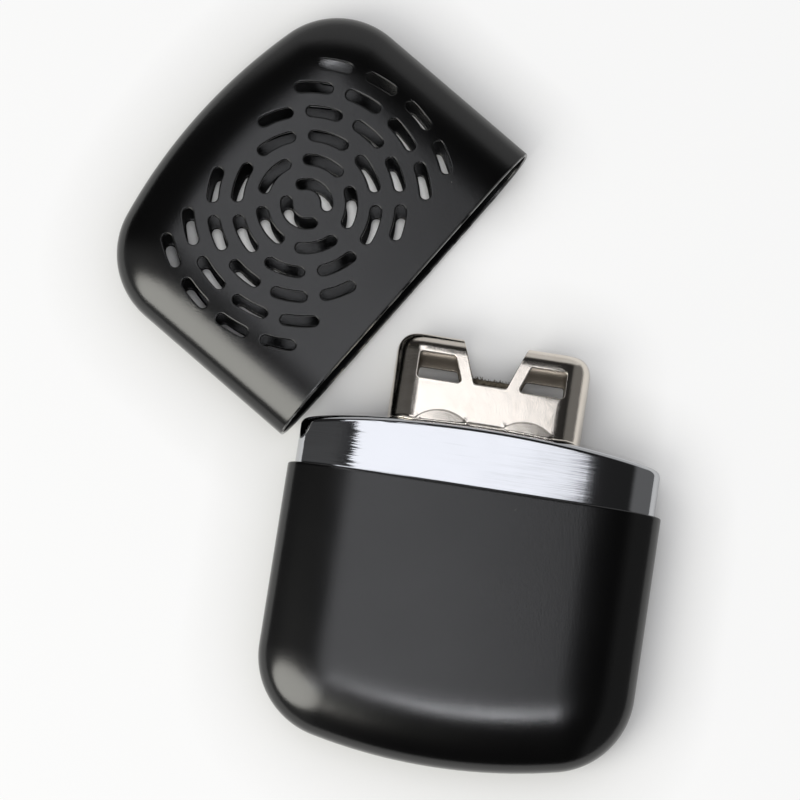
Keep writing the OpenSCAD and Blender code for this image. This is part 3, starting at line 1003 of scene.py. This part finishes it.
def vent_loops():
    """Loops of all slots as functions of an offset. The rings are a pitch apart: whole where
    they fit between the rim and the crown, and arcs at the two sides past that."""
    reach = vent_half_h - vent_w / 2
    loops = []
    for k in range(int((vent_half_w - vent_w / 2 - vent_first_r) / vent_pitch) + 1):
        radius = vent_first_r + k * vent_pitch
        whole = radius <= reach
        half_angle = math.pi if whole else math.asin(reach / radius)
        span = 2 * half_angle * radius + (0 if whole else vent_gap)
        count = max(1, int(span / (vent_len + vent_gap)))
        share = 2 * half_angle / count
        slot_angle = share - (vent_gap + vent_w) / radius
        for direction in ([math.pi / 2] if whole else [0, math.pi]):
            for i in range(count):
                start = direction - half_angle + share * (i + 0.5) - slot_angle / 2
                loops.append(slot_loop(radius, start, start + slot_angle))
    return loops


def slot_loop(radius, start, end):
    """Outline of one slot along a ring: two arcs joined by half-round ends."""
    along = np.linspace(start, end, 9)
    bow = np.linspace(0, math.pi, 9)[1:-1]

    def towards(angle):
        return np.stack([np.cos(angle), np.sin(angle)], -1)

    def loop(offset):
        r = vent_w / 2 + offset
        return np.concatenate([
            (radius + r) * towards(along),
            radius * towards(end) + r * towards(end + bow),
            (radius - r) * towards(along[::-1]),
            radius * towards(start) + r * towards(start + math.pi + bow),
        ]) + (0, vent_mid_y)

    return loop


def laid_aside(points):
    """Points of the cap from its own frame to its place on the tank, and from there turned
    about the swing's pivot to where it lies."""
    turn = -math.radians(swing["range_deg"][0])
    pivot = np.array(swing["pos_m"]) * (1, 1, 0)
    x, y, z = (points + (0, seam_y + rim_gap, 0) - pivot).T
    across = x * math.cos(turn) - y * math.sin(turn)
    along = x * math.sin(turn) + y * math.cos(turn)
    return np.stack([across, along, z], -1) + pivot


def rubbed_paint(place):
    """The same paint, rubbed through in patches along the edge of the cap's mouth. The distance
    from the mouth is taken along the cap's own axis."""
    mouth, beyond = laid_aside(np.array([[0, 0, 0], [0, 1, 0]]))
    away = place.node("VectorMath", {"operation": "SUBTRACT"}, {0: place, 1: mouth})
    away = place.node("VectorMath", {"operation": "DOT_PRODUCT"}, {0: away, 1: beyond - mouth}, "Value")
    rubbed = step(noise(place, 1 / rubbed_patch, 3), 0.35, 0.5)
    return black_paint(place, step(away, rubbed_to, rubbed_from) * rubbed)


cap = weld("cap_body", placed(drawn_cup(cap_h, vent_loops()), laid_aside))
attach(cap, "cap")
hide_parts("cap_shell")
dress(cap, material("cap_paint", rubbed_paint))

# ---- Studio ----
# The warmer lies on a white table in a dark room. Three panels and two small strips look straight
# down on it, and an oval softbox stands near it at the lower left. The walls glow faintly.

floor_white = (0.9, 0.9, 0.9, 1)
table_half = 3
glow_share = 0.85
glossy_share = 0.55
shade_reach = 16 * MM


def studio_floor(place):
    """White table top. The camera and polished metal see part of it as a plain white glow
    where nothing stands over it, so that it looks white and keeps the object's shadow."""
    rays = place.node("LightPath", {}, {}, "Is Camera Ray")
    rays = rays + place.node("LightPath", {}, {}, "Is Transmission Ray")
    rays = rays + place.node("LightPath", {}, {}, "Is Glossy Ray") * glossy_share
    open_sky = place.node("AmbientOcclusion", {"samples": 8}, {"Distance": shade_reach}, "AO")
    matt = place.node("BsdfDiffuse", {}, {"Color": floor_white})
    glow = place.node("Emission", {}, {"Color": (1, 1, 1, 1), "Strength": 1})
    return place.node("MixShader", {}, {0: rays * open_sky * open_sky * glow_share, 1: matt, 2: glow})


floor_mesh = bpy.data.meshes.new("floor")
corners = [(-table_half, -table_half, 0), (table_half, -table_half, 0),
           (table_half, table_half, 0), (-table_half, table_half, 0)]
floor_mesh.from_pydata(corners, [], [(0, 1, 2, 3)])
floor = bpy.data.objects.new("floor", floor_mesh)
bpy.context.collection.objects.link(floor)
dress(floor, material("floor", studio_floor))


def panel(name, centre, size, glow, tint, target, shape="RECTANGLE", roll=0):
    """Flat lamp at a centre, turned to a target, and then rolled about its own axis. glow is
    how bright its face looks, where 1 is white. The camera doesn't see it."""
    data = bpy.data.lights.new(name, "AREA")
    data.shape = shape
    data.size, data.size_y = size
    data.energy = glow * math.pi * size[0] * size[1] * (math.pi / 4 if shape == "ELLIPSE" else 1)
    data.color = tint
    lamp = bpy.data.objects.new(name, data)
    bpy.context.collection.objects.link(lamp)
    towards = Vector(target) - Vector(centre)
    aim = towards.to_track_quat("-Z", "Y") @ Quaternion((0, 0, 1), roll)
    lamp.rotation_euler = aim.to_euler()
    lamp.location = centre
    lamp.visible_camera = False


ceiling = 0.9
overhead_white = (0.95, 0.96, 1)
softbox_white = (1, 0.99, 0.92)
strip_drop = 0.01  # lamps that overlap in one plane would lose light


def ceiling_panel(name, x, y, size, glow, drop=0):
    """Panel that looks straight down from the ceiling, or from a little below it."""
    panel(name, (x, y, ceiling - drop), size, glow, overhead_white, (x, y, 0))


ceiling_panel("overhead", -0.046, 0.0225, (0.18, 0.365), 1.6)
ceiling_panel("upper_left", -0.1725, 0.2875, (0.255, 0.165), 1.6)
ceiling_panel("lower_left", -0.215, -0.225, (0.155, 0.17), 2)
ceiling_panel("strip", 0.042, -0.12, (0.084, 0.045), 24, strip_drop)
ceiling_panel("strip_left", -0.035, -0.11, (0.07, 0.045), 4, strip_drop)
panel("softbox", (-0.315, -0.22, 0.35), (0.34, 0.52), 5.2, softbox_white, (-0.035, 0.02, 0),
      "ELLIPSE", math.radians(-25))

room_glow = 0.15
ceiling_glow = 0.02
left_glow = 0.24
right_glow = 0.14
back_glow = 0.55
world = bpy.data.worlds.new("studio")
bpy.context.scene.world = world
world.use_nodes = True
world.node_tree.nodes.clear()
sky = Value(world.node_tree)
rays = sky.node("LightPath", {}, {}, "Is Camera Ray")
glossy = sky.node("LightPath", {}, {}, "Is Glossy Ray")
direction = sky.node("TexCoord", {}, {}, "Generated")
to_right = sky.node("SeparateXYZ", {}, {0: direction}, "X")
to_back = sky.node("SeparateXYZ", {}, {0: direction}, "Y")
left_wall = left_glow * step(to_right, -0.1, -0.4) * step(to_back, 0.2, -0.05)
right_wall = right_glow * step(to_right, 0.5, 0.62)
back_wall = back_glow * step(to_back, 0.6, 0.75)
mirrored = ceiling_glow + left_wall + right_wall + back_wall
level = room_glow + glossy * (mirrored - room_glow)
level = level + rays * (1 - level)
background = sky.node("Background", {}, {"Color": (1, 1, 1, 1), "Strength": level})
sky.node("OutputWorld", {}, {"Surface": background})
bpy.context.scene.view_settings.view_transform = "Standard"

camera_place = Vector((-0.24, -59.98, 744.48)) * MM
camera_ahead = Vector((-0.02056, 0.13280, -0.99093)).normalized()
camera_lean = math.radians(8.8)
camera_data = bpy.data.cameras.new("camera")
camera_data.sensor_width = 36
camera_data.lens = 187.9
camera_data.clip_end = 10
camera = bpy.data.objects.new("camera", camera_data)
bpy.context.collection.objects.link(camera)
right = Vector((math.cos(camera_lean), math.sin(camera_lean), 0))
up = right.cross(camera_ahead)
turn = Matrix((right, up, -camera_ahead)).transposed().to_4x4()
camera.matrix_world = Matrix.Translation(camera_place) @ turn
bpy.context.scene.camera = camera
